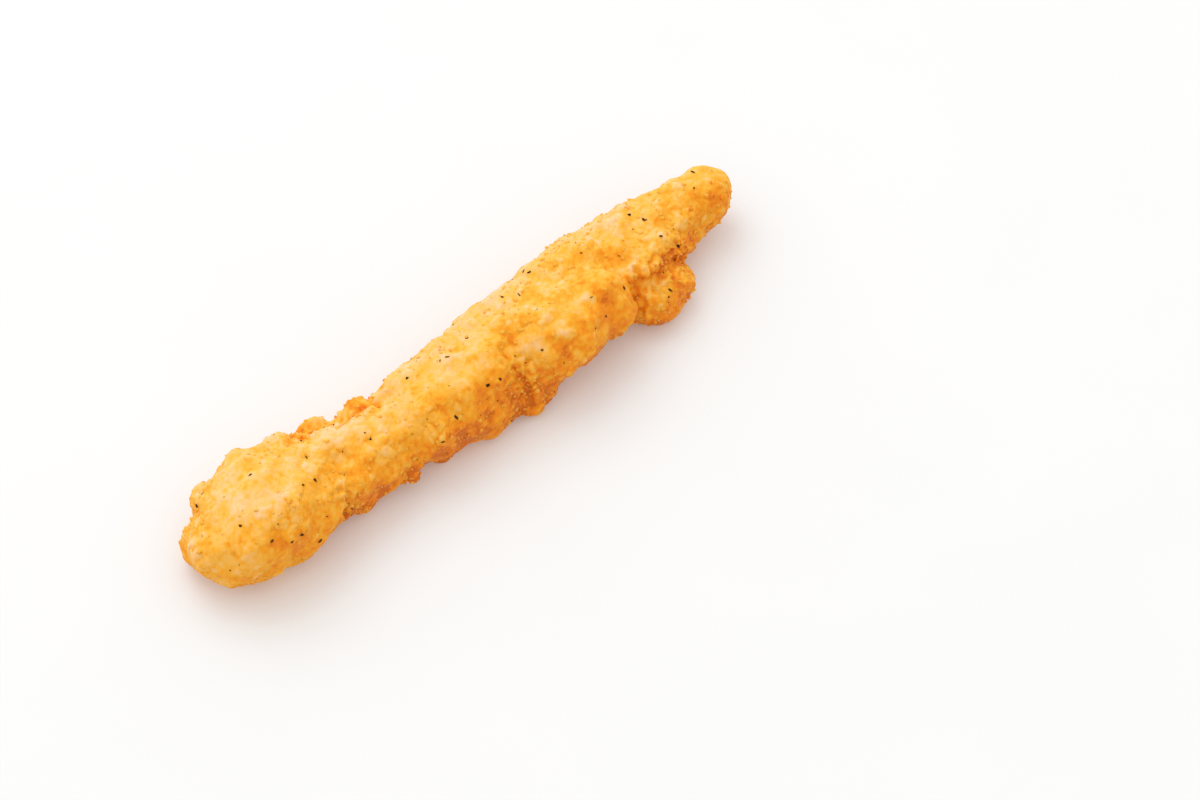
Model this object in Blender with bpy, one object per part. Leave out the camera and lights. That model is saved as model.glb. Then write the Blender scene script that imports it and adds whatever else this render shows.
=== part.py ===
"""A chicken tender: one breaded, deep-fried strip of breast fillet, lying on its flat side.

The strip has a thick club end, a waist, a folded middle and a thin finger-like end, and a small lobe of
meat hangs from its near side beside the finger. Its crust is lumpy, with larger flakes at the waist.
It is one solid, crust and meat together.
Run it with: blender --background --python part.py
Metres, +Z up. +X runs from the club end to the finger. The origin is under the middle, on the surface.
"""

import math

import bmesh
import bpy
from mathutils import Matrix, Vector, noise

MM = 0.001

# Driving sizes, in millimetres.
LENGTH = 129.0
CLUB_ROUNDING = 9.0  # length over which the club end rounds off
FINGER_ROUNDING = 7.0  # the same for the finger's tip
RINGS = 90  # cross-sections along the strip
RING_POINTS = 36
SECTION_POWER = 2.25  # a little squarer than an ellipse, as pressed meat is
GRAIN = 1.35  # edge length of the finished facets
SOFTENING = 0.4  # how far one round of smoothing takes each point towards its neighbours
REST_DEPTH = 0.7  # how far the underside is pressed flat where it rests

# Finish of the crust: linear colour, and roughness.
CRUST_COLOUR = (0.80, 0.38, 0.07, 1.0)
CRUST_ROUGHNESS = 0.6

# Cross-sections of the strip in millimetres: along from the club end, aside from the middle line,
# width, height, and lift of the underside over the surface.
SECTIONS = (
    (0.0, -1.8, 16.4, 14.0, 1.4),
    (6.0, -3.2, 18.4, 17.0, 0.3),
    (12.0, -2.0, 21.6, 19.4, 0.0),
    (18.0, -1.0, 21.4, 19.8, 0.0),
    (24.0, -1.0, 18.4, 17.6, 0.2),
    (30.0, -2.0, 16.2, 15.4, 0.8),
    (38.0, -2.5, 16.2, 15.4, 0.8),
    (47.0, -1.4, 16.2, 16.0, 0.4),
    (55.0, 0.0, 17.8, 17.0, 0.0),
    (65.0, -0.4, 19.0, 17.8, 0.0),
    (77.0, 0.2, 19.4, 18.2, 0.0),
    (87.0, 2.4, 18.2, 18.0, 0.0),
    (95.0, 3.8, 16.6, 17.0, 0.2),
    (102.0, 4.6, 14.8, 15.2, 0.8),
    (109.0, 5.4, 13.8, 13.6, 1.6),
    (117.0, 5.8, 12.2, 12.0, 2.4),
    (124.0, 5.7, 11.0, 10.8, 3.0),
    (129.0, 6.0, 9.4, 9.6, 3.6),
)

# Lobes and folds of the meat, and the largest flakes of crust, each an ellipsoid, in millimetres:
# centre (along, aside, height), half sizes, and turn about the upright axis in degrees.
LOBES = {
    "club_near_bulge": ((17.2, -5.1, 9.4), (11.8, 8.0, 9.6), 4),
    "club_end_scallop": ((4.2, 2.2, 5.2), (4.0, 4.6, 4.8), 15),
    "club_far_scallop": ((8.4, 7.0, 9.2), (3.0, 3.2, 4.4), -20),
    "club_far_shoulder": ((16.8, 5.8, 10.0), (6.6, 5.0, 7.2), 0),
    "club_top_knob": ((23.8, 5.2, 11.8), (3.8, 3.6, 4.8), 0),
    "waist_flake": ((30.4, 5.8, 10.0), (3.6, 1.9, 2.4), 5),
    "waist_long_flake": ((40.6, 4.4, 10.6), (6.2, 1.8, 2.6), -8),
    "waist_crumb": ((43.4, -9.4, 4.6), (2.0, 1.8, 1.8), 0),
    "near_fold": ((53.4, -4.2, 8.8), (14.6, 6.8, 8.8), 3),
    "near_belly": ((68.0, -5.6, 5.4), (14.0, 6.2, 5.6), 4),
    "middle_fold": ((81.6, -2.8, 10.2), (14.2, 8.0, 9.0), 6),
    "fold_front_edge": ((91.6, -3.4, 10.2), (6.8, 6.4, 8.2), 8),
    "far_back_fold": ((74.0, 4.8, 8.8), (24.0, 6.4, 8.2), 5),
    "finger_root_ridge": ((101.0, 7.0, 10.0), (12.0, 5.4, 6.2), 4),
    "torn_edge": ((104.4, -0.4, 10.6), (9.6, 4.8, 4.8), 16),
    "hanging_lobe": ((103.6, -4.5, 5.4), (8.6, 6.6, 6.2), 5),
    "finger_tip": ((121.9, 5.7, 8.4), (6.8, 5.6, 5.4), 0),
    "finger_fringe": ((113.8, 0.1, 6.8), (3.0, 2.3, 2.4), 30),
}

# Creases where folds meet: how deep, how wide, then the points it runs through, in millimetres.
CREASES = {
    "neck": (2.3, 1.8, ((26.2, -11.0, 2.0), (27.4, -10.0, 7.0), (28.6, -7.4, 12.0), (31.0, -4.0, 15.4))),
    "mid": (1.7, 1.6, ((67.0, -12.0, 3.0), (68.0, -11.4, 8.0), (67.8, -9.0, 13.6), (69.4, -5.0, 17.8))),
    "fold_front": (1.6, 1.6, ((95.0, -9.0, 4.0), (96.6, -8.2, 9.0), (97.6, -6.0, 14.0), (96.8, -2.6, 17.0))),
    "under_torn_edge": (
        1.7,
        1.5,
        ((98.6, -6.0, 12.0), (102.6, -6.0, 11.0), (107.0, -4.8, 9.6), (112.0, -2.8, 7.0)),
    ),
    "behind_long_flake": (1.3, 1.1, ((33.0, 3.0, 14.0), (40.0, 2.6, 14.6), (47.0, 1.6, 15.6))),
    "end_scallop": (1.3, 1.2, ((2.6, 6.0, 4.0), (5.6, 5.4, 9.0), (6.4, 2.4, 14.0))),
}

# Relief of the crust, in millimetres: size of its swells and how far they stand out, largest first,
# then the same for its rounded cobbles, which meet in creases.
CRUST_SWELLS = ((15.0, 1.0), (6.4, 1.0), (3.2, 0.4))
CRUST_COBBLES = (4.0, 1.2)
COBBLE_MIDDLE = 0.5  # share of a cobble's size where it is as high as the plain surface
CRUST_SEED = Vector((3.7, 11.2, 5.9))


def between(values, share):
    """Catmull-Rom value at share (0 to 1) between the middle two of four values."""
    before, start, end, after = values
    slope_in, slope_out = (end - before) / 2, (after - start) / 2
    a = 2 * start - 2 * end + slope_in + slope_out
    b = -3 * start + 3 * end - 2 * slope_in - slope_out
    return ((a * share + b) * share + slope_in) * share + start


def section_at(along):
    """Aside, width, height and lift of the strip at a distance from the club end."""
    last = len(SECTIONS) - 1
    i = max(k for k in range(last) if SECTIONS[k][0] <= along or k == 0)
    near = [SECTIONS[min(max(k, 0), last)] for k in (i - 1, i, i + 1, i + 2)]
    share = (along - near[1][0]) / (near[2][0] - near[1][0])
    return [between([section[column] for section in near], share) for column in (1, 2, 3, 4)]


def end_rounding(along):
    """Share of the full cross-section that is left near either end."""
    short = min(along / CLUB_ROUNDING, (LENGTH - along) / FINGER_ROUNDING, 1.0)
    return math.sqrt(max(1 - (1 - short) ** 2, 0.0))


def ring_points(along):
    """One closed cross-section, in metres."""
    aside, width, height, lift = section_at(along)
    rounding = end_rounding(along)
    points = []
    for k in range(RING_POINTS):
        turn = math.tau * k / RING_POINTS
        across = math.copysign(abs(math.cos(turn)) ** (2 / SECTION_POWER), math.cos(turn))
        up = math.copysign(abs(math.sin(turn)) ** (2 / SECTION_POWER), math.sin(turn))
        y = aside + across * rounding * width / 2
        z = lift + height / 2 + up * rounding * height / 2
        points.append(Vector((along, y, z)) * MM)
    return points


def strip_body():
    """The strip without its lobes: rings from end to end, closed by a point at each end."""
    mesh = bmesh.new()
    rows = []
    for r in range(1, RINGS):
        # Rings lie closer together at the ends, where the strip rounds off.
        along = LENGTH * (1 - math.cos(math.pi * r / RINGS)) / 2
        rows.append([mesh.verts.new(p) for p in ring_points(along)])
    ends = []
    for along in (0.0, LENGTH):
        aside, _, height, lift = section_at(along)
        ends.append(mesh.verts.new(Vector((along, aside, lift + height / 2)) * MM))
    for row, following in zip(rows, rows[1:]):
        for k in range(RING_POINTS):
            n = (k + 1) % RING_POINTS
            mesh.faces.new((row[k], row[n], following[n], following[k]))
    for k in range(RING_POINTS):
        n = (k + 1) % RING_POINTS
        mesh.faces.new((ends[0], rows[0][n], rows[0][k]))
        mesh.faces.new((ends[1], rows[-1][k], rows[-1][n]))
    bmesh.ops.recalc_face_normals(mesh, faces=mesh.faces)
    return object_of("strip_body", mesh)


def lobe(name, centre, half_sizes, turn):
    """One ellipsoid of meat or crust."""
    mesh = bmesh.new()
    place = (
        Matrix.Translation(Vector(centre) * MM)
        @ Matrix.Rotation(math.radians(turn), 4, "Z")
        @ Matrix.Diagonal((*(Vector(half_sizes) * MM), 1.0))
    )
    bmesh.ops.create_icosphere(mesh, subdivisions=4, radius=1.0, matrix=place)
    return object_of(name, mesh)


def object_of(name, mesh):
    """Turns a bmesh into an object in the scene, and frees it."""
    data = bpy.data.meshes.new(name)
    mesh.to_mesh(data)
    mesh.free()
    made = bpy.data.objects.new(name, data)
    bpy.context.scene.collection.objects.link(made)
    return made


def evaluated_mesh(source):
    """The mesh of an object with its modifiers applied."""
    bpy.context.view_layer.update()
    graph = bpy.context.evaluated_depsgraph_get()
    return bpy.data.meshes.new_from_object(source.evaluated_get(graph))


def fused_form():
    """The strip and its lobes as one even-grained surface."""
    body = strip_body()
    lumps = bpy.data.collections.new("lumps")
    bpy.context.scene.collection.children.link(lumps)
    for name, (centre, half_sizes, turn) in LOBES.items():
        piece = lobe(name, centre, half_sizes, turn)
        bpy.context.scene.collection.objects.unlink(piece)
        lumps.objects.link(piece)
    join = body.modifiers.new("join", "BOOLEAN")
    join.operation = "UNION"
    join.operand_type = "COLLECTION"
    join.collection = lumps
    join.solver = "MANIFOLD"
    even = body.modifiers.new("even", "REMESH")
    even.mode = "VOXEL"
    even.voxel_size = GRAIN * MM
    soften = body.modifiers.new("soften", "SMOOTH")
    soften.factor = SOFTENING
    soften.iterations = 1
    form = evaluated_mesh(body)
    for piece in [body, *lumps.objects]:
        bpy.data.objects.remove(piece)
    bpy.data.collections.remove(lumps)
    return form


def distance_to_line(point, line):
    """Shortest distance from a point to a line of straight runs."""
    nearest = math.inf
    for start, end in zip(line, line[1:]):
        run = end - start
        share = min(max((point - start).dot(run) / run.length_squared, 0.0), 1.0)
        nearest = min(nearest, (point - start - run * share).length)
    return nearest


def crust_height(point):
    """How far the crust stands out at a point of the form, in metres."""
    height = 0.0
    for depth, width, stops in CREASES.values():
        apart = distance_to_line(point / MM, [Vector(stop) for stop in stops])
        height -= depth * math.exp(-((apart / width) ** 2))
    for size, depth in CRUST_SWELLS:
        height += depth * noise.noise(point / (size * MM) + CRUST_SEED)
    size, depth = CRUST_COBBLES
    to_nearest = noise.voronoi(point / (size * MM) + CRUST_SEED)[0][0]
    height += depth * (COBBLE_MIDDLE - to_nearest)
    return height * MM


def raise_crust(form):
    """Moves each point out or in by the crust's relief."""
    outward = [v.normal.copy() for v in form.vertices]
    for v, normal in zip(form.vertices, outward):
        v.co += normal * crust_height(v.co)


def rest_on_surface(form):
    """Presses the underside flat where it rests, and puts the origin under the middle of the box."""
    for v in form.vertices:
        v.co.z = max(v.co.z - REST_DEPTH * MM, 0.0)
    low = [min(v.co[axis] for v in form.vertices) for axis in range(3)]
    high = [max(v.co[axis] for v in form.vertices) for axis in range(3)]
    middle = Vector(((low[0] + high[0]) / 2, (low[1] + high[1]) / 2, 0.0))
    form.transform(Matrix.Translation(-middle))


def crust_material():
    """Golden fried crust."""
    material = bpy.data.materials.new("golden_crust")
    material.use_nodes = True
    shader = material.node_tree.nodes["Principled BSDF"]
    shader.inputs["Base Color"].default_value = CRUST_COLOUR
    shader.inputs["Roughness"].default_value = CRUST_ROUGHNESS
    return material


def chicken_tender():
    """The finished solid."""
    form = fused_form()
    raise_crust(form)
    rest_on_surface(form)
    form.name = "chicken_tender"
    form.shade_smooth()
    form.materials.append(crust_material())
    tender = bpy.data.objects.new("chicken_tender", form)
    bpy.context.scene.collection.objects.link(tender)
    return tender


for leftover in list(bpy.data.objects):
    bpy.data.objects.remove(leftover)
chicken_tender()
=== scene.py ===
# %% [markdown]
# # A fried chicken tender
#
# This lesson dresses one breaded, deep-fried strip of chicken for the camera. Its solid is already modelled:
# a club end, a waist, a folded middle, a hanging lobe and a finger end, with coarse facets. Here it gets the
# fine crust, the crumbs, the pepper and herb flecks, and the colours of a golden fry.
#
# All lengths are in metres, and `MM` turns millimetres into them.

import math

import bmesh
import bpy
import numpy as np
from mathutils import Matrix, Vector, noise
from mathutils.bvhtree import BVHTree


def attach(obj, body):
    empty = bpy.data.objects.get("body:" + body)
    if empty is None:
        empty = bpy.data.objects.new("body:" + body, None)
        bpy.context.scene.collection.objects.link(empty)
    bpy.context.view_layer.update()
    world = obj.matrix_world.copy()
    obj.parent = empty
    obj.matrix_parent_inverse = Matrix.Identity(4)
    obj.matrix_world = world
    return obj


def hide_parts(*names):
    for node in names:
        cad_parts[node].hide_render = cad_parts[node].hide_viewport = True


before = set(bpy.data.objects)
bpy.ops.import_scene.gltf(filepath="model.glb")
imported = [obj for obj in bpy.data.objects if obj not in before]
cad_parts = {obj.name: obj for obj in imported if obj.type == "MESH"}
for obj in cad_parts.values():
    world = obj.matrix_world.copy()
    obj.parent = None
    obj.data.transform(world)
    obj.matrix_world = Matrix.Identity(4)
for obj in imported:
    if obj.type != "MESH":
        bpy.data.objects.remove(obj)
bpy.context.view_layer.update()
MM = 0.001

# %% [markdown]
# ## Camera
#
# A camera could be posed by eye, but then each change of the lens moves the strip in the picture. Here the
# camera turns to a known azimuth and elevation, and then slides sideways until one chosen point of the strip
# lands on one chosen pixel. A long lens keeps the perspective as flat as in a studio shot.

# %% Place the camera
PICTURE = (1200, 800)
LENS = 100.0
SENSOR = 36.0
AZIMUTH, ELEVATION = -38.4, 55.0
DISTANCE = 0.6127
AIM_POINT = Vector((-3.0, 0.0, 9.0)) * MM
AIM_PIXEL = (462.5, 377.0)
PIXEL_SPREAD = SENSOR / LENS / PICTURE[0]  # width of one pixel at a distance of 1


def view_axes(azimuth, elevation):
    """Right, up and back of a camera that looks at the strip from these angles in degrees."""
    turn, rise = math.radians(azimuth), math.radians(elevation)
    right = Vector((math.cos(turn), math.sin(turn), 0.0))
    level = Vector((math.sin(turn), -math.cos(turn), 0.0))
    back = level * math.cos(rise) + Vector((0.0, 0.0, math.sin(rise)))
    return right, back.cross(right), back


def pixel_offset(pixel):
    """How far a pixel lies right of and above the picture's middle, at a distance of 1."""
    across = (pixel[0] - PICTURE[0] / 2) * PIXEL_SPREAD
    above = (PICTURE[1] / 2 - pixel[1]) * PIXEL_SPREAD
    return across, above


view_right, view_up, view_back = view_axes(AZIMUTH, ELEVATION)
aim_across, aim_above = pixel_offset(AIM_PIXEL)
camera_place = AIM_POINT + (view_back - view_right * aim_across - view_up * aim_above) * DISTANCE
camera_data = bpy.data.cameras.new("camera")
camera_data.lens = LENS
camera_data.sensor_width = SENSOR
camera_data.clip_start = 0.01
camera_data.clip_end = 20.0
camera = bpy.data.objects.new("camera", camera_data)
bpy.context.scene.collection.objects.link(camera)
turned = Matrix((view_right, view_up, view_back)).transposed().to_4x4()
camera.matrix_world = Matrix.Translation(camera_place) @ turned
bpy.context.scene.camera = camera
print("camera at, m:", [round(part, 3) for part in camera_place])

# %% [markdown]
# ## Fine copy of the solid
#
# The solid's facets are about 1.4 mm long, far too coarse for a crust. A Subdivision Surface modifier would
# follow the old facets and keep their pattern. A voxel remesh forgets them: it lays new faces of even size
# over the same form. A few rounds of averaging then melt the facets away.
#
# Averaging also fills the creases between folds a little, so the folds are brought back by pushing each
# point away from a much smoother copy of the form. In a few calm places, such as the finger's end, the
# breading is smooth, and there the points move towards that copy instead.

# %% Remesh and smooth
FINE_EDGE = 0.34 * MM
FACET_ROUNDS = 14  # rounds of averaging that melt the facets
FOLD_ROUNDS = 110  # rounds that leave only the strip's main shape
FOLD_BOOST = 0.45  # how much the folds are deepened again

# Where the breading is smooth: place (along, across, up), reach, and strength, in millimetres.
CALM_SPOTS = (
    ((64.0, 6.0, 8.0), 9.0, 1.0),
    ((-54.0, -4.0, 15.0), 9.0, 0.35),
    ((40.5, -10.0, 6.0), 6.0, 0.8),
    ((-3.0, -6.0, 14.0), 8.0, 0.5),
    ((-18.0, -4.5, 14.5), 7.0, 0.4),
)


def evaluated_mesh(piece):
    """The piece's mesh with its modifiers applied."""
    bpy.context.view_layer.update()
    graph = bpy.context.evaluated_depsgraph_get()
    return bpy.data.meshes.new_from_object(piece.evaluated_get(graph))


def remeshed(source, edge):
    """A new mesh of the same form with even faces."""
    shell = bmesh.new()
    shell.from_mesh(source)
    bmesh.ops.remove_doubles(shell, verts=shell.verts, dist=edge / 1000)
    data = bpy.data.meshes.new("welded")
    shell.to_mesh(data)
    shell.free()
    welded = bpy.data.objects.new("welded", data)
    bpy.context.scene.collection.objects.link(welded)
    even = welded.modifiers.new("even", "REMESH")
    even.mode = "VOXEL"
    even.voxel_size = edge
    mesh = evaluated_mesh(welded)
    bpy.data.objects.remove(welded)
    bpy.data.meshes.remove(data)
    return mesh


def points_of(mesh):
    """The mesh's points in millimetres, one row each."""
    points = np.empty(len(mesh.vertices) * 3, np.float32)
    mesh.vertices.foreach_get("co", points)
    return points.reshape(-1, 3).astype(float) / MM


def edges_of(mesh):
    """The mesh's edges as pairs of point numbers."""
    edges = np.empty(len(mesh.edges) * 2, np.int32)
    mesh.edges.foreach_get("vertices", edges)
    return edges.reshape(-1, 2)


def put_points(mesh, points):
    """Moves the mesh's points to these places in millimetres."""
    mesh.vertices.foreach_set("co", (points * MM).astype(np.float32).ravel())
    mesh.update()


def normals_of(mesh):
    """The mesh's outward direction at each point."""
    normals = np.empty(len(mesh.vertices) * 3, np.float32)
    mesh.vertex_normals.foreach_get("vector", normals)
    return normals.reshape(-1, 3).astype(float)


def averaged(values, edges, rounds):
    """Each row of values moved halfway to the mean of its neighbours', so many times over."""
    here = np.concatenate((edges[:, 0], edges[:, 1]))
    there = np.concatenate((edges[:, 1], edges[:, 0]))
    neighbours = np.bincount(here, minlength=len(values))
    for _ in range(rounds):
        sums = [np.bincount(here, column[there], len(values)) for column in values.T]
        values = (values + np.stack(sums, axis=1) / neighbours[:, None]) / 2
    return values


def near_spots(points, spots):
    """Strength of the spots at each point, fading out with distance."""
    strength = np.zeros(len(points))
    for place, reach, peak in spots:
        apart = np.linalg.norm(points - np.array(place), axis=1)
        strength = np.maximum(strength, peak * np.exp(-((apart / reach) ** 2)))
    return strength


crust_mesh = remeshed(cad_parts["chicken_tender"].data, FINE_EDGE)
crust_edges = edges_of(crust_mesh)
form = averaged(points_of(crust_mesh), crust_edges, FACET_ROUNDS)
main_shape = averaged(form, crust_edges, FOLD_ROUNDS)
calm = near_spots(form, CALM_SPOTS)
form += (form - main_shape) * (FOLD_BOOST - (FOLD_BOOST + 1.0) * calm)[:, None]
put_points(crust_mesh, form)
form_normals = normals_of(crust_mesh)
print("crust:", len(crust_mesh.vertices), "points,", len(crust_mesh.polygons), "faces")

# %% [markdown]
# ## Relief of the crust
#
# Breading isn't evenly rough. Flour and egg clump into soft cobbles 2 to 3 mm wide that meet in creases, and
# finer grains sit on them. Where the coating tore or ran together, it stands up in sharp crags. Where one
# fold laps over the next, a narrow groove runs between them with a raised, ragged lip along it. Here and
# there a flake or a lump stands up.
#
# A Displace modifier with a texture could do each layer alone, but then no layer would know where another
# one is. Worked out point by point in code, the layers can share masks, and the material can colour each
# cobble by the same numbers that raised it. They are stored on the mesh as named attributes.

# %% Cobbles, grains, crags, folds and flakes
COBBLE_SIZE, COBBLE_HEIGHT = 3.0, 0.48
GRAIN_SIZE, GRAIN_HEIGHT = 1.35, 0.26
SWELL_SIZE, SWELL_HEIGHT = 5.5, 0.45
CRAG_SIZE, CRAG_HEIGHT = 1.9, 0.75
PATCH_SIZE = 11.0  # size of the areas that are rougher or smoother than the rest
LEAST_COBBLES, LEAST_GRAINS = 0.45, 0.35  # their heights in the smoothest areas, as shares of the full ones
WANDER = 0.35  # how far a cobble's border strays, as a share of its size
NOISE_SEED = 8
MEAN_COBBLE, MEAN_GRAIN, MEAN_CRAG = 0.6, 0.5, 0.4  # taken off, so that no layer swells the whole strip
CALMING = 0.6  # share of the relief that a calm place takes away

# Where the crust is torn and craggy: place (along, across, up), reach, and strength, in millimetres.
CRAG_SPOTS = (
    ((46.0, -4.0, 9.0), 5.0, 1.0),
    ((40.0, -6.0, 12.0), 5.0, 0.8),
    ((55.0, 1.5, 4.0), 6.0, 0.8),
    ((-34.5, 6.0, 11.0), 4.0, 0.8),
    ((-22.0, 4.5, 11.5), 6.0, 0.6),
    ((-22.0, -9.0, 4.0), 4.0, 0.8),
    ((4.0, -9.5, 12.0), 5.0, 0.6),
    ((-37.0, -9.0, 5.0), 5.0, 0.5),
    ((-60.0, 3.0, 6.0), 4.0, 0.5),
)

# Where one fold laps over the next: strength of the groove between them, and the stops (along, across, up)
# that it runs through, in millimetres.
FOLD_LINES = (
    (1.0, ((-38.6, -11.0, 2.0), (-37.4, -10.0, 7.0), (-36.4, -8.2, 11.0))),
    (0.7, ((4.8, -11.0, 3.0), (4.9, -9.6, 7.8), (4.6, -8.0, 11.2))),
    (0.3, ((4.6, -8.0, 11.2), (4.0, -6.0, 14.5), (3.0, -4.0, 16.5))),
    (1.0, ((31.0, -9.5, 4.0), (32.6, -6.8, 8.0), (34.2, -5.2, 10.0), (35.6, -4.0, 13.0))),
    (0.6, ((35.2, -4.8, 11.0), (38.6, -4.8, 11.2), (43.0, -4.2, 9.6), (47.0, -2.8, 7.0))),
    (0.9, ((-33.0, 5.4, 12.8), (-28.0, 4.6, 13.2), (-23.0, 3.2, 13.6))),
)
FOLD_DEPTH, FOLD_WIDTH = 0.85, 0.75
LIP_HEIGHT, LIP_FROM_FOLD, LIP_WIDTH = 0.35, 1.9, 0.8
FOLD_STRAY, STRAY_SIZE = 0.7, 2.4  # how far the grooves stray, and over what length
RAGGED_RIM = 0.7  # height of the crags on a lip

# Flakes and lumps that stand up: height, reach, and the stops of each one's crest, in millimetres.
FLAKES = (
    (1.2, 1.3, ((-32.0, 7.0, 11.2), (-28.0, 6.4, 11.8), (-23.6, 5.2, 12.4))),
    (0.8, 1.4, ((-22.0, -9.3, 4.8), (-21.4, -9.4, 4.6))),
    (1.1, 5.0, ((63.5, 2.5, 9.0), (63.5, 5.5, 9.0))),
)


def smooth_step(values, low, high):
    """0 below low, 1 above high, and an even S-curve between them."""
    share = np.clip((values - low) / (high - low), 0.0, 1.0)
    return share * share * (3 - 2 * share)


def noise_at(points, size, seed):
    """Smooth noise from -1 to 1 with features of this size."""
    shift = Vector((seed * 7.1, seed * 3.7, seed * 5.3))
    return np.array([noise.noise(Vector(point) / size + shift) for point in points])


def cells_at(points, size, seed):
    """Pillows that meet in creases, from 0 in a crease to 1, and a tone from 0 to 1 for each pillow."""
    shift = Vector((seed * 4.3, seed * 9.1, seed * 2.9))
    rows = []
    for point in points:
        at = Vector(point) / size + shift
        at += noise.noise_vector(at * 1.3) * WANDER
        apart, middles = noise.voronoi(at)
        rows.append((apart[1] - apart[0], noise.cell(middles[0] * 9.7)))
    border, tone = np.array(rows).T
    return 1 - np.exp(-border * 3.2), tone


def distance_to_line(points, stops):
    """Each point's distance to the line through the stops."""
    nearest = np.full(len(points), np.inf)
    for start, end in zip(stops, stops[1:]):
        span = np.subtract(end, start)
        share = np.clip((points - start) @ span / (span @ span), 0.0, 1.0)
        apart = np.linalg.norm(points - start - share[:, None] * span, axis=1)
        nearest = np.minimum(nearest, apart)
    return nearest


def cell_colour(pillow, tone, pale_share, toasted_share):
    """-1 on top of the palest cells, 1 on top of the most toasted ones, 0 on the others and in creases."""
    palest = smooth_step(tone, 1 - pale_share, 1 - pale_share / 2)
    darkest = smooth_step(-tone, -toasted_share, -toasted_share / 2)
    return (darkest - palest) * smooth_step(pillow, 0.25, 0.8)


def store(mesh, name, values):
    """Keeps one number for each point on the mesh, for materials to read."""
    attribute = mesh.attributes.new(name, "FLOAT", "POINT")
    attribute.data.foreach_set("value", np.asarray(values, np.float32))


noise.seed_set(NOISE_SEED)  # unseeded, noise_vector starts from the clock
patches = smooth_step(noise_at(form, PATCH_SIZE, 1), -0.45, 0.35)
torn = near_spots(form, CRAG_SPOTS)
cobble, cobble_tone = cells_at(form, COBBLE_SIZE, 2)
grain, grain_tone = cells_at(form, GRAIN_SIZE, 3)
swell = noise_at(form, SWELL_SIZE, 4)
crag = 1 - np.abs(noise_at(form, CRAG_SIZE, 5)) * 2.2
stray = FOLD_STRAY * noise_at(form, STRAY_SIZE, 7)
fold = np.zeros(len(form))
lip = np.zeros(len(form))
for strength, stops in FOLD_LINES:
    apart = distance_to_line(form, stops) + stray
    fold = np.maximum(fold, strength * np.exp(-((apart / FOLD_WIDTH) ** 2)))
    lip = np.maximum(lip, strength * np.exp(-(((apart - LIP_FROM_FOLD) / LIP_WIDTH) ** 2)))

height = SWELL_HEIGHT * swell
height += COBBLE_HEIGHT * (cobble - MEAN_COBBLE) * np.interp(patches, (0, 1), (LEAST_COBBLES, 1))
height += COBBLE_HEIGHT * 0.5 * (cobble_tone - 0.5) * cobble
height += GRAIN_HEIGHT * (grain - MEAN_GRAIN) * np.interp(patches, (0, 1), (LEAST_GRAINS, 1))
height += CRAG_HEIGHT * (crag - MEAN_CRAG) * torn
height *= 1 - CALMING * calm
height += (LIP_HEIGHT + RAGGED_RIM * (crag - MEAN_CRAG)) * lip - FOLD_DEPTH * fold
for rise, reach, stops in FLAKES:
    height += rise * np.exp(-((distance_to_line(form, stops) / reach) ** 2))
relief = form + form_normals * height[:, None]
relief[:, 2] = np.maximum(relief[:, 2], 0.0)
put_points(crust_mesh, relief)
print("relief, mm:", round(float(height.min()), 2), "to", round(float(height.max()), 2))

# %% [markdown]
# ## Where the crust is toasted, and where light and shade are painted
#
# The side that faces the key light is painted paler, a painted highlight and sheen, on top of the side that
# stayed out of the oil as the strip floated, which is a little pale as well; the side turned from the key
# and the low edges are painted amber, painted shade. Creases and grooves get a deep orange of painted shade,
# and single clumps of flour come out creamy or toasted. A material could guess at this with textures alone,
# but
# the mesh knows: a point below the average of its neighbourhood is in a crease, its smooth normal says which
# way it faces, and each cobble and grain has its own tone. Browned places, places of painted shade, and pale
# places that no rule can tell are named one by one.

# %% Masks for the material
HOLLOW_ROUNDS = 10  # neighbourhood within which a point counts as low or high
HOLLOW_DEPTH = 0.16  # depth, in millimetres, that counts as a full crease
FACING_ROUNDS = 20  # neighbourhood over which the facing is averaged
# The first direction is the way the key light comes from: the side that faces it is painted paler, a painted
# highlight, on top of the paler top that stayed out of the oil, and the side turned from it darker, painted
# shade. The second number adds a painted sheen where a part faces the key fully.
KEY_LIGHT_WAY = (0.0, 0.53, 0.85)  # the way the palest side faces
PAINTED_SHEEN = 0.55  # how much paler still the part is that faces fully that way
COBBLE_TONES, GRAIN_TONES = 0.18, 0.33  # how far a cobble's and a grain's own tone may go
# These set how uneven the browned places and the places of painted shade are, and how much painted shade the
# low edges and the grooves get: it darkens them where shade falls, not by browning.
DARKENING_SIZE = 3.4  # size of the uneven places within a browned one
LOW_SHADE, GROOVE_SHADE = 0.34, 0.45  # how browned the low edges and the grooves are
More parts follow.
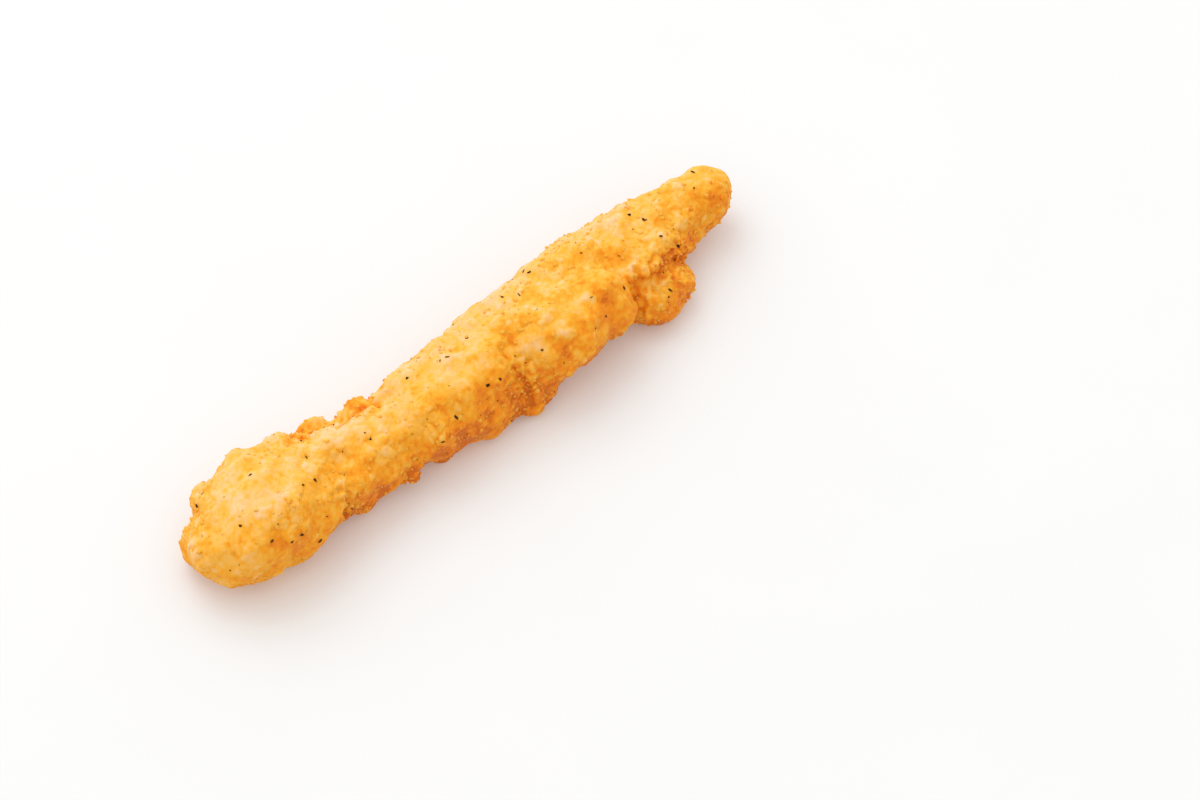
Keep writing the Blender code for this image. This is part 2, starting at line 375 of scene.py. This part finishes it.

# Browned places, and places of painted shade low on the waist, low under the middle and on the hanging lobe:
# place (along, across, up), reach, and strength, in millimetres.
TOAST_AND_SHADE_SPOTS = (
    ((-35.0, 6.2, 11.0), 3.2, 1.0),
    ((-22.5, 5.0, 11.5), 4.5, 0.8),
    ((-27.5, 5.4, 11.0), 3.0, 0.6),
    ((-21.6, -9.5, 4.4), 2.4, 1.6),
    ((46.5, -4.0, 8.0), 4.5, 0.75),
    ((40.0, -6.0, 10.5), 4.0, 0.55),
    ((51.5, 0.5, 5.5), 4.5, 0.75),
    ((2.5, -9.4, 15.5), 3.4, 0.65),
    # painted shade, low under the middle fold
    ((4.0, -11.0, 6.0), 6.0, 0.7),
    ((22.0, -10.0, 2.5), 8.0, 0.6),
    ((-36.5, -10.0, 4.0), 3.6, 0.45),
    ((-12.0, 3.0, 17.0), 3.0, 0.35),
    ((-43.0, -1.0, 18.0), 2.2, 0.3),
    ((33.0, 6.0, 15.0), 2.6, 0.35),
    # painted shade on the hanging lobe
    ((39.5, -8.5, 6.0), 7.0, 0.38),
    ((41.5, -5.6, 9.6), 3.0, 0.85),
    # painted shade along the low side of the waist
    ((-31.0, -9.0, 9.0), 5.0, 0.40),
    ((-25.0, -9.5, 8.5), 6.0, 0.55),
    ((-15.0, -10.6, 7.5), 6.5, 0.65),
    ((-5.0, -10.6, 7.0), 6.0, 0.50),
    ((58.0, 7.0, 13.0), 9.0, 0.50),
    ((20.0, -7.5, 16.5), 7.5, 0.60),
    ((25.0, -2.5, 17.5), 6.5, 0.75),
    ((30.0, -9.0, 9.0), 3.5, 0.50),
    ((27.0, 5.5, 17.0), 5.0, 0.35),
    ((-40.0, -9.0, 8.0), 5.0, 0.35),
    ((-52.0, 9.0, 7.0), 5.0, 0.45),
    ((-10.0, 8.5, 7.0), 6.0, 0.45),
    ((8.0, 9.5, 4.0), 5.0, 0.40),
    ((27.0, 11.5, 8.0), 6.0, 0.45),
    ((46.0, 11.0, 5.0), 6.0, 0.40),
)

# Pale places, in the same way.
PALE_SPOTS = (
    ((8.3, -6.9, 15.7), 2.2, 1.2),
    ((5.6, -5.2, 15.8), 1.2, 0.8),
    ((-37.5, -9.2, 8.5), 1.5, 0.8),
    ((-52.0, 3.0, 17.0), 6.0, 0.2),
    ((-30.0, 1.0, 16.0), 6.0, 0.5),
    ((30.0, 3.0, 18.0), 5.0, 0.4),
    ((-51.0, -8.5, 5.0), 11.0, 0.65),
    ((-61.0, -8.0, 6.0), 7.0, 0.80),
    ((-59.5, -9.5, 10.0), 6.5, 0.75),
    ((-23.5, -6.0, 14.0), 5.0, 0.45),
    ((21.5, -10.2, 13.8), 4.5, 0.55),
    ((57.0, 0.5, 6.0), 4.5, 0.50),
)

# Painted shade: points that lie in creases are painted darker, where shade falls.
smooth_relief = averaged(relief, crust_edges, HOLLOW_ROUNDS)
crease_shade = np.einsum("ij,ij->i", smooth_relief - relief, form_normals) / HOLLOW_DEPTH
painted_key_light = averaged(normals_of(crust_mesh), crust_edges, FACING_ROUNDS) @ np.array(KEY_LIGHT_WAY)
painted_key_light += PAINTED_SHEEN * smooth_step(painted_key_light, 0.58, 1.0)
clump = 0.5 + COBBLE_TONES * cell_colour(cobble, cobble_tone, 0.24, 0.10)
clump += GRAIN_TONES * cell_colour(grain, grain_tone, 0.26, 0.08)
darkening_noise = smooth_step(noise_at(form, DARKENING_SIZE, 6), -0.3, 0.5)
toast_and_shade = near_spots(form, TOAST_AND_SHADE_SPOTS) * (0.55 + 0.45 * darkening_noise)
# Painted shade: the low part of the strip beyond the club, and the grooves between folds, are painted
# darker.
shaded_low_part = smooth_step(-form[:, 2], -8.0, -1.0) * smooth_step(form[:, 0], -48.0, -36.0)
toast_and_shade += LOW_SHADE * shaded_low_part * (0.4 + 0.6 * darkening_noise)
toast_and_shade += GROOVE_SHADE * fold
pale = near_spots(form, PALE_SPOTS)

store(crust_mesh, "crease_shade", np.clip(0.5 + crease_shade / 2, 0.0, 1.0))
store(crust_mesh, "painted_key_light", painted_key_light / 2 + 0.5)
store(crust_mesh, "clump", np.clip(clump, 0.0, 1.0))
store(crust_mesh, "toast_and_shade", np.clip(toast_and_shade, 0.0, 1.0))
store(crust_mesh, "pale", np.clip(pale, 0.0, 1.0))
# The share counts toasted spots and painted shade together.
print("toasted share:", round(float((toast_and_shade > 0.4).mean()), 3))

# %% [markdown]
# ## Node helpers
#
# Shader trees are long to write out node by node. A few helpers keep them short: they add a node and set its
# values, mix two colours by a mask, do a sum, move a number to another range, read a number off the mesh, or
# make a node group. Each takes sockets or plain values alike.

# %% Helpers for shader trees
MIX_FACTOR, MIX_A, MIX_B, MIX_RESULT = 0, 6, 7, 2  # a Mix node's colour sockets


def feed(tree, value, socket):
    """Links a socket, or sets a plain value."""
    if isinstance(value, bpy.types.NodeSocket):
        tree.links.new(value, socket)
    elif isinstance(value, tuple) and len(value) == 3 and socket.type == "RGBA":
        socket.default_value = (*value, 1.0)
    else:
        socket.default_value = value


def add_node(tree, kind, settings=None, **inputs):
    """A new node with its settings, and its inputs by name (an underscore stands for a space)."""
    node = tree.nodes.new(kind)
    for name, value in (settings or {}).items():
        setattr(node, name, value)
    for name, value in inputs.items():
        feed(tree, value, node.inputs[name.replace("_", " ")])
    return node


def mix(tree, mask, first, second, blend="MIX"):
    """First where the mask is 0, second where it is 1."""
    node = add_node(tree, "ShaderNodeMix", {"data_type": "RGBA", "blend_type": blend})
    feed(tree, mask, node.inputs[MIX_FACTOR])
    feed(tree, first, node.inputs[MIX_A])
    feed(tree, second, node.inputs[MIX_B])
    return node.outputs[MIX_RESULT]


def calc(tree, operation, first, second=0.0, third=0.0, clamp=False):
    """One sum of two or three numbers."""
    node = add_node(tree, "ShaderNodeMath", {"operation": operation, "use_clamp": clamp})
    for socket, value in zip(node.inputs, (first, second, third)):
        feed(tree, value, socket)
    return node.outputs["Value"]


def remap(tree, value, low, high, to_low=0.0, to_high=1.0):
    """Moves a number from one range to another with an even S-curve."""
    node = add_node(tree, "ShaderNodeMapRange", {"interpolation_type": "SMOOTHSTEP"})
    for socket, number in zip(node.inputs, (value, low, high, to_low, to_high)):
        feed(tree, number, socket)
    return node.outputs["Result"]


def attribute(tree, name):
    """A number stored on the mesh."""
    node = add_node(tree, "ShaderNodeAttribute", {"attribute_name": name})
    return node.outputs["Fac"]


def new_group(name, inputs, outputs):
    """An empty node group with named sockets, and its input and output nodes."""
    group = bpy.data.node_groups.new(name, "ShaderNodeTree")
    for label, value in inputs.items():
        socket = group.interface.new_socket(label, in_out="INPUT", socket_type="NodeSocketFloat")
        socket.default_value = value
    for label, kind in outputs.items():
        group.interface.new_socket(label, in_out="OUTPUT", socket_type=kind)
    return group, group.nodes.new("NodeGroupInput"), group.nodes.new("NodeGroupOutput")


def use_group(tree, group, **inputs):
    """Places a group in a tree with its own values."""
    return add_node(tree, "ShaderNodeGroup", {"node_tree": group}, **inputs)


# %% [markdown]
# ## Two effects that every fried surface shares
#
# Crust and crumbs are made of the same stuff, so two effects are node groups, built once. *Fried grain* is
# the finest roughness, too small to model: tiny grains and pits that give a height for the bump, a shade for
# the pits, and a tone of its own for each grain. *Fry tones* turns one number, how long a place has fried,
# with painted light and shade added to it on the crust, into a colour, from cream through gold and amber to
# brown. A ColorRamp on each material would do the same, but then a change of the fry's colour would have to
# be made in each.

# %% Group: fried grain
grain_group, grain_in, grain_out = new_group(
    "fried_grain",
    {"Size": 0.6, "Pits": 0.5},
    {"Height": "NodeSocketFloat", "Shade": "NodeSocketFloat", "Tone": "NodeSocketFloat"},
)
coordinates = add_node(grain_group, "ShaderNodeTexCoord")
in_grains = add_node(grain_group, "ShaderNodeVectorMath", {"operation": "SCALE"})
feed(grain_group, coordinates.outputs["Object"], in_grains.inputs["Vector"])
grains_per_metre = calc(grain_group, "DIVIDE", 1 / MM, grain_in.outputs["Size"])
feed(grain_group, grains_per_metre, in_grains.inputs["Scale"])
specks = add_node(
    grain_group,
    "ShaderNodeTexNoise",
    Vector=in_grains.outputs["Vector"],
    Scale=1.0,
    Detail=4.0,
    Roughness=0.65,
)
pebbles = add_node(
    grain_group,
    "ShaderNodeTexVoronoi",
    {"feature": "SMOOTH_F1"},
    Vector=in_grains.outputs["Vector"],
    Scale=0.8,
    Smoothness=0.5,
)
pebble_height = calc(grain_group, "SUBTRACT", 0.8, pebbles.outputs["Distance"])
pebble_share = calc(grain_group, "MULTIPLY", pebble_height, grain_in.outputs["Pits"])
grain_height = calc(grain_group, "ADD", specks.outputs["Fac"], pebble_share)
feed(grain_group, grain_height, grain_out.inputs["Height"])
feed(grain_group, remap(grain_group, grain_height, 0.45, 1.05), grain_out.inputs["Shade"])
own_tone = add_node(grain_group, "ShaderNodeSeparateColor", Color=pebbles.outputs["Color"])
feed(grain_group, own_tone.outputs["Red"], grain_out.inputs["Tone"])

# %% Group: fry tones
CREAM = (0.860, 0.515, 0.235)
STRAW = (0.885, 0.476, 0.130)
PALE_GOLD = (0.895, 0.434, 0.048)
GOLD = (0.890, 0.364, 0.015)
AMBER = (0.855, 0.275, 0.007)
DEEP_AMBER = (0.800, 0.215, 0.006)
TOASTED = (0.640, 0.145, 0.005)
BROWN = (0.360, 0.065, 0.005)
FRY_STOPS = (
    (0.00, CREAM),
    (0.20, STRAW),
    (0.38, PALE_GOLD),
    (0.54, GOLD),
    (0.70, AMBER),
    (0.85, DEEP_AMBER),
    (0.95, TOASTED),
    (1.00, BROWN),
)

tone_group, tone_in, tone_out = new_group(
    "fry_tones",
    {"Fry": 0.4},
    {"Colour": "NodeSocketColor"},
)
ramp = add_node(tone_group, "ShaderNodeValToRGB")
ramp.color_ramp.interpolation = "LINEAR"
while len(ramp.color_ramp.elements) < len(FRY_STOPS):
    ramp.color_ramp.elements.new(1.0)
for element, (position, colour) in zip(ramp.color_ramp.elements, FRY_STOPS):
    element.position = position
    element.color = (*colour, 1.0)
feed(tone_group, tone_in.outputs["Fry"], ramp.inputs["Fac"])
feed(tone_group, ramp.outputs["Color"], tone_out.inputs["Colour"])

# %% [markdown]
# ## The crust's material
#
# The crust's colour is one sum: start from a middling fry, go paler on the side that faces the key light, a
# painted highlight on top of the side that was out of the oil, and on pale clumps of flour, darker in
# creases and low down, which is painted shade, and on toasted spots and spots of painted shade, and let
# noise at two sizes disturb it. The sum is kept from going all the way to brown, and then goes through the
# fry tones. Light also wanders a little way into breading before it comes out again, which subsurface
# scattering does, and a trace of oil gives a broken, soft gloss.

# %% Material: golden crust
MIDDLING_FRY, DARKEST_FRY = 0.515, 0.94
TOAST_AND_SHADE_SPOT, PALE_SPOT = 0.42, -0.30  # what a spot at full strength adds to the fry


def blotches(tree, size, detail):
    """Smooth noise from 0 to 1 with features of this size in millimetres."""
    where = add_node(tree, "ShaderNodeTexCoord")
    node = add_node(
        tree,
        "ShaderNodeTexNoise",
        Vector=where.outputs["Object"],
        Scale=1 / (size * MM),
        Detail=detail,
        Roughness=0.6,
    )
    return node.outputs["Fac"]


def new_material(name, roughness, specular):
    """A material with its tree and its shader."""
    material = bpy.data.materials.new(name)
    material.use_nodes = True
    shader = material.node_tree.nodes["Principled BSDF"]
    shader.inputs["Roughness"].default_value = roughness
    shader.inputs["Specular IOR Level"].default_value = specular
    return material, material.node_tree, shader


def add_bump(tree, shader, height, distance, strength=1.0):
    """Roughens a shader by a height map, its full range this many millimetres high."""
    bump = add_node(
        tree,
        "ShaderNodeBump",
        Height=height,
        Distance=distance * MM,
        Strength=strength,
    )
    feed(tree, bump.outputs["Normal"], shader.inputs["Normal"])


def weighted(tree, start, *terms):
    """A start value plus each number times its weight, where a number of 0.5 adds nothing."""
    total = start
    for value, weight in terms:
        centred = calc(tree, "SUBTRACT", value, 0.5)
        total = calc(tree, "MULTIPLY_ADD", centred, weight, total)
    return total


crust_material, tree, shader = new_material("golden_crust", 0.5, 0.17)
grain_node = use_group(tree, grain_group, Size=0.65, Pits=0.7)
# Painted light and shade: the side turned to the key goes paler, and creases, grooves, the low side and
# shaded spots go darker.
fry_and_painted_light = weighted(
    tree,
    MIDDLING_FRY,
    (blotches(tree, 7.0, 2.0), 0.84),
    (blotches(tree, 1.6, 3.0), 0.14),
    (grain_node.outputs["Tone"], 0.14),
    (attribute(tree, "clump"), 0.62),
    (attribute(tree, "painted_key_light"), -0.48),
    (attribute(tree, "crease_shade"), 0.30),
    (grain_node.outputs["Shade"], -0.12),
)
fry_and_painted_light = calc(tree, "MULTIPLY_ADD", attribute(tree, "toast_and_shade"), TOAST_AND_SHADE_SPOT, fry_and_painted_light)
fry_and_painted_light = calc(tree, "MULTIPLY_ADD", attribute(tree, "pale"), PALE_SPOT, fry_and_painted_light)
fry_and_painted_light = calc(tree, "MINIMUM", fry_and_painted_light, DARKEST_FRY)
tones = use_group(tree, tone_group, Fry=fry_and_painted_light)
feed(tree, tones.outputs["Colour"], shader.inputs["Base Color"])
gloss = remap(tree, grain_node.outputs["Shade"], 0.2, 0.9, 0.62, 0.40)
feed(tree, gloss, shader.inputs["Roughness"])
add_bump(tree, shader, grain_node.outputs["Height"], 0.09)
shader.inputs["Subsurface Weight"].default_value = 0.30
shader.inputs["Subsurface Radius"].default_value = (1.0, 0.35, 0.1)
shader.inputs["Subsurface Scale"].default_value = 1.2 * MM

# %% [markdown]
# ## The crust piece
#
# The fine mesh becomes an object that stands for the solid, which is then no longer shown. It rides on the
# strip's only body.

# %% Show the crust
crust = bpy.data.objects.new("crust", crust_mesh)
bpy.context.scene.collection.objects.link(crust)
crust_mesh.name = "crust"
crust_mesh.materials.clear()
crust_mesh.materials.append(crust_material)
crust_mesh.shade_smooth()
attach(crust, "root")
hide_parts("chicken_tender")

# %% [markdown]
# ## Scattering crumbs
#
# Crumbs could be particles or instances, but then they are no mesh of their own, and an export loses them.
# Here each kind is one joined mesh. A few odd lumps are made from an icosphere and noise, and each crumb is
# one of them, turned, sized and sunk into the crust at a random point. How likely a place is to carry one
# comes from the same masks that shaped the crust. The draws are seeded, so each run gives the same crumbs.

# %% Lumps and places
LUMP_KINDS = 9


def lump(subdivisions, unevenness, kind):
    """One odd lump about 1 across: its points and its triangles."""
    ball = bmesh.new()
    bmesh.ops.create_icosphere(ball, subdivisions=subdivisions, radius=0.5)
    shift = Vector((kind * 3.3, kind * 1.7, kind * 5.9))
    for vertex in ball.verts:
        vertex.co *= 1 + unevenness * noise.noise(vertex.co * 2.6 + shift)
    points = np.array([vertex.co for vertex in ball.verts])
    faces = np.array([[vertex.index for vertex in face.verts] for face in ball.faces])
    ball.free()
    return points, faces


def random_turns(draw, count):
    """Rotation matrices, evenly spread over all directions."""
    quaternions = draw.normal(size=(count, 4))
    quaternions /= np.linalg.norm(quaternions, axis=1)[:, None]
    w, x, y, z = quaternions.T
    rows = (
        (1 - 2 * (y * y + z * z), 2 * (x * y - z * w), 2 * (x * z + y * w)),
        (2 * (x * y + z * w), 1 - 2 * (x * x + z * z), 2 * (y * z - x * w)),
        (2 * (x * z - y * w), 2 * (y * z + x * w), 1 - 2 * (x * x + y * y)),
    )
    return np.moveaxis(np.array(rows), 2, 0)


def flat_turns(draw, normals):
    """Rotation matrices that lay a flat lump on the surface, turned at random about the normal."""
    first = np.cross(normals, draw.normal(size=normals.shape))
    first /= np.linalg.norm(first, axis=1)[:, None]
    return np.stack((first, np.cross(normals, first), normals), axis=2)


def places_on_crust(draw, count, likelihood):
    """Random places on the crust: points and outward directions. Likelihood is one number a point."""
    triangles = np.array([triangle.vertices for triangle in crust_mesh.loop_triangles])
    corners = relief[triangles]
    spans = np.cross(corners[:, 1] - corners[:, 0], corners[:, 2] - corners[:, 0])
    weights = np.linalg.norm(spans, axis=1) * likelihood[triangles].mean(axis=1)
    chosen = draw.choice(len(triangles), size=count, p=weights / weights.sum())
    shares = draw.dirichlet((1.0, 1.0, 1.0), size=count)
    points = np.einsum("ij,ijk->ik", shares, corners[chosen])
    outward = spans[chosen] / np.linalg.norm(spans[chosen], axis=1)[:, None]
    return points, outward


def joined_lumps(name, lumps, kinds, points, turns, sizes):
    """One mesh object of many lumps: a kind, place, turn and size along its three axes for each."""
    all_points, all_faces, first = [], [], 0
    for kind, point, turn, size in zip(kinds, points, turns, sizes):
        shape, faces = lumps[kind]
        all_points.append((shape * size) @ turn.T + point)
        all_faces.append(faces + first)
        first += len(shape)
    placed = np.concatenate(all_points)
    placed[:, 2] = np.maximum(placed[:, 2], 0.0)
    mesh = bpy.data.meshes.new(name)
    mesh.from_pydata((placed * MM).tolist(), [], np.concatenate(all_faces).tolist())
    mesh.update()
    piece = bpy.data.objects.new(name, mesh)
    bpy.context.scene.collection.objects.link(piece)
    return piece


def scatter(name, seed, count, likelihood, smallest, largest, sink, material, detail=1, flat=None):
    """Crumbs of one kind: sizes lean to the small end, and flat gives height and width shares."""
    draw = np.random.default_rng(seed)
    lumps = [lump(detail, 0.75, kind) for kind in range(LUMP_KINDS)]
    points, outward = places_on_crust(draw, count, likelihood)
    across = smallest + (largest - smallest) * draw.random(count) ** 2.2
    sizes = across[:, None] * draw.uniform(0.75, 1.15, size=(count, 3))
    if flat:
        sizes *= np.array((1.0, flat[1], flat[0]))
        turns = flat_turns(draw, outward)
    else:
        turns = random_turns(draw, count)
    raised = points + outward * (sizes[:, 2] * (0.5 - sink))[:, None]
    piece = joined_lumps(name, lumps, draw.integers(LUMP_KINDS, size=count), raised, turns, sizes)
    piece.data.materials.append(material)
    piece.data.shade_smooth()
    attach(piece, "root")
    print(name, count, "pieces,", len(piece.data.polygons), "triangles")
    return piece


# %% [markdown]
# ## Crumbs
#
# Three kinds show on the strip. Pale grits, the size of semolina, stick everywhere but most low down, where
# the crust is rough, and along the lips of the folds. Golden crumbs are larger and sit deep among the
# cobbles. Toasted crumbs gather on the flakes, the torn fringe and the lower edges.

# %% Material and pieces: crumbs
def crumb_material(name, fry_level, spread, roughness):
    """Fried crumb: the shared tones around one level of frying."""
    material, tree, shader = new_material(name, roughness, 0.25)
    grain_node = use_group(tree, grain_group, Size=0.3, Pits=0.6)
    fry_and_painted_light = weighted(
        tree,
        fry_level,
        (blotches(tree, 1.1, 2.0), spread),
        (grain_node.outputs["Shade"], -0.12),
    )
    tones = use_group(tree, tone_group, Fry=fry_and_painted_light)
    feed(tree, tones.outputs["Colour"], shader.inputs["Base Color"])
    add_bump(tree, shader, grain_node.outputs["Height"], 0.05)
    shader.inputs["Subsurface Weight"].default_value = 0.15
    shader.inputs["Subsurface Radius"].default_value = (1.0, 0.35, 0.1)
    shader.inputs["Subsurface Scale"].default_value = 0.8 * MM
    return material


crust_mesh.calc_loop_triangles()
low_sides = smooth_step(-form[:, 2], -14.0, -5.0)
above_table = smooth_step(form[:, 2], 0.2, 1.2)
grit = scatter(
    "pale_grits",
    11,
    2600,
    (0.15 + 0.5 * patches + low_sides + 1.5 * torn + 1.5 * lip) * above_table,
    0.18,
    0.48,
    0.50,
    crumb_material("pale_grit", 0.30, 0.40, 0.6),
)
golden = scatter(
    "golden_crumbs",
    12,
    1000,
    (0.15 + patches + 2.0 * torn) * above_table,
    0.40,
    1.10,
    0.68,
    crumb_material("golden_crumb", 0.44, 0.4, 0.6),
    detail=2,
)
toasted = scatter(
    "toasted_crumbs",
    13,
    110,
    (shaded_low_part * toast_and_shade ** 2 + 1.5 * torn * toast_and_shade) * above_table,
    0.5,
    1.3,
    0.42,
    crumb_material("toasted_crumb", 0.72, 0.4, 0.6),
    detail=2,
)

# %% [markdown]
# ## Pepper and herbs
#
# Black pepper was ground into the flour: flat dark chips, most under a millimetre, and a few slivers of
# dried herb. The largest ones give the strip its face, so they are placed one by one: a ray from the camera
# through a chosen pixel finds the point of the crust that carries each. The rest are scattered over all
# sides.

# %% Flecks
LARGE_FLECK_SCALE = 0.88
FLECK_THICKNESS, FLECK_RISE = 0.30, 0.03  # thickness, and how far its middle is above the crust

# The largest flecks: pixel, length and width in millimetres, and turn in degrees.
LARGE_FLECKS = (
    ((197, 506), 0.84, 0.70, 0),
    ((250, 475), 0.97, 0.40, 60),
    ((315, 480), 0.88, 0.75, 20),
    ((303, 485), 0.57, 0.48, 0),
    ((272, 541), 0.70, 0.53, 40),
    ((302, 535), 0.88, 0.35, -20),
    ((320, 541), 1.06, 0.57, 50),
    ((292, 542), 0.62, 0.44, 70),
    ((352, 508), 0.53, 0.44, 60),
    ((301, 441), 0.53, 0.35, 45),
    ((369, 393), 0.88, 0.62, 55),
    ((370, 439), 0.75, 0.62, 10),
    ((407, 378), 0.66, 0.44, 60),
    ((447, 357), 1.06, 0.35, 12),
    ((467, 338), 0.62, 0.53, 0),
    ((488, 385), 0.79, 0.66, 30),
    ((500, 379), 0.70, 0.57, 0),
    ((456, 417), 1.10, 0.53, -40),
    ((443, 442), 0.84, 0.35, 35),
    ((502, 297), 0.53, 0.44, 0),
    ((581, 253), 0.57, 0.44, 0),
    ((624, 288), 0.88, 0.48, -50),
    ((629, 215), 0.75, 0.62, 20),
    ((646, 220), 0.97, 0.31, 5),
    ((661, 236), 0.70, 0.57, 0),
    ((678, 246), 0.84, 0.70, 0),
    ((670, 290), 1.06, 0.44, -25),
    ((693, 172), 1.10, 0.48, -50),
    ((694, 188), 0.48, 0.35, 80),
)


def fleck_material(name, dark, light, roughness):
    """Dried spice: mottled between two tones."""
    material, tree, shader = new_material(name, roughness, 0.06)
    mottle = remap(tree, blotches(tree, 0.5, 3.0), 0.35, 0.65)
    feed(tree, mix(tree, mottle, dark, light), shader.inputs["Base Color"])
    add_bump(tree, shader, blotches(tree, 0.2, 2.0), 0.05)
    return material


def under_pixel(tree_of_crust, pixel):
    """The point of the crust behind a pixel and its outward direction, in millimetres."""
    across, above = pixel_offset(pixel)
    ray = view_right * across + view_up * above - view_back
    hit, outward, _, _ = tree_of_crust.ray_cast(camera_place, ray.normalized())
    return (hit, outward) if hit else None


def placed_flecks(name, flecks, material):
    """The listed flecks as one piece."""
    crust_tree = BVHTree.FromObject(crust, bpy.context.evaluated_depsgraph_get())
    lumps = [lump(2, 0.8, kind + 20) for kind in range(LUMP_KINDS)]
    points, turns, sizes = [], [], []
    for pixel, length, width, angle in flecks:
        found = under_pixel(crust_tree, pixel)
        if not found:
            print("no crust behind pixel", pixel)
            continue
        hit, outward = found
        lie = math.radians(angle)
        first = view_right * math.cos(lie) + view_up * math.sin(lie)
        first = (first - outward * first.dot(outward)).normalized()
        points.append(np.array(hit) / MM + np.array(outward) * FLECK_RISE)
        turns.append(np.array((first, outward.cross(first), outward)).T)
        sizes.append(np.array((length, width, FLECK_THICKNESS)) * LARGE_FLECK_SCALE)
    kinds = [number % LUMP_KINDS for number in range(len(points))]
    piece = joined_lumps(name, lumps, kinds, points, turns, sizes)
    piece.data.materials.append(material)
    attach(piece, "root")
    print(name, len(points), "pieces")
    return piece


pepper_material = fleck_material("cracked_pepper", (0.024, 0.009, 0.003), (0.140, 0.045, 0.010), 0.7)
herb_material = fleck_material("dried_herb", (0.030, 0.018, 0.004), (0.150, 0.075, 0.015), 0.7)
placed_flecks("large_flecks", LARGE_FLECKS, pepper_material)
evenly = 0.4 + 0.6 * patches
scatter("pepper", 24, 130, evenly, 0.22, 0.62, 0.35, pepper_material, detail=2, flat=(0.4, 0.8))
scatter("herbs", 25, 34, evenly, 0.5, 1.2, 0.35, herb_material, detail=2, flat=(0.18, 0.32))

# %% [markdown]
# ## Light
#
# Food on white is lit by one large soft source, high, behind and to the left, and by all the white around
# it. A sun or a strong lamp alone would throw a hard, dark shadow. Here most of the light comes from the
# room itself, which brightens evenly towards the key, and the key only adds the last bit. The dim side of
# the room is warm and the rest a little cool: together they're white, and the shadow, which sees the dim
# side, is warm.
#
# The scene's own view transform would grey the whites, so the picture uses the Standard one.

# %% Set up the light
KEY_DIRECTION = (32.0, 56.0)  # the key's azimuth from straight behind, and its elevation, in degrees
KEY_DISTANCE = 1.3
KEY_SIZE = 1.0
KEY_POWER = 4.8
KEY_COLOUR = (0.84, 0.94, 1.0)
BRIGHT_SIDE = (1.28, 1.325, 1.37)  # the room behind and above the strip
DIM_SIDE = (0.49, 0.41, 0.31)  # the room in front of it, and below

_, _, from_key = view_axes(AZIMUTH + 180.0 + KEY_DIRECTION[0], KEY_DIRECTION[1])
key_data = bpy.data.lights.new("key", "AREA")
key_data.shape = "DISK"
key_data.size = KEY_SIZE
key_data.energy = KEY_POWER
key_data.color = KEY_COLOUR
key = bpy.data.objects.new("key", key_data)
bpy.context.scene.collection.objects.link(key)
key.location = AIM_POINT + from_key * KEY_DISTANCE
key.rotation_mode = "QUATERNION"
key.rotation_quaternion = from_key.to_track_quat("Z", "Y")

world = bpy.data.worlds.new("white_room")
world.use_nodes = True
room = world.node_tree
looking = add_node(room, "ShaderNodeTexCoord")
towards_key = add_node(room, "ShaderNodeVectorMath", {"operation": "DOT_PRODUCT"})
feed(room, looking.outputs["Generated"], towards_key.inputs[0])
feed(room, from_key, towards_key.inputs[1])
brightening = calc(room, "MULTIPLY_ADD", towards_key.outputs["Value"], 0.5, 0.5)
walls = mix(room, brightening, DIM_SIDE, BRIGHT_SIDE)
feed(room, walls, room.nodes["Background"].inputs["Color"])
bpy.context.scene.world = world
bpy.context.scene.view_settings.view_transform = "Standard"
bpy.context.scene.view_settings.look = "None"

# %% [markdown]
# ## Floor
#
# The strip lies on a plain white surface. Its faint, warm glow is painted light that stands in for a table
# lit
# from below, as food studios use them: it keeps the shadow light and warms it. The material carries the
# faintest mottling, so that it isn't one dead colour, and no gloss, so that only the soft shadow shows.

# %% Floor
FLOOR_SIZE = 6.0
FLOOR_DROP = 0.02 * MM  # keeps the floor just clear of the strip's underside

floor_shape = bmesh.new()
bmesh.ops.create_grid(floor_shape, x_segments=8, y_segments=8, size=FLOOR_SIZE / 2)
floor_mesh = bpy.data.meshes.new("floor")
floor_shape.to_mesh(floor_mesh)
floor_shape.free()
floor = bpy.data.objects.new("floor", floor_mesh)
bpy.context.scene.collection.objects.link(floor)
floor.location.z = -FLOOR_DROP
floor_material, tree, shader = new_material("white_table", 0.9, 0.1)
faint = remap(tree, blotches(tree, 60.0, 2.0), 0.3, 0.7)
whites = mix(tree, faint, (0.655, 0.655, 0.655), (0.665, 0.664, 0.662))
feed(tree, whites, shader.inputs["Base Color"])
# Painted light: the floor's own warm glow lifts and warms its shadow.
shader.inputs["Emission Color"].default_value = (1.0, 0.84, 0.70, 1.0)
shader.inputs["Emission Strength"].default_value = 0.15
floor_mesh.materials.append(floor_material)
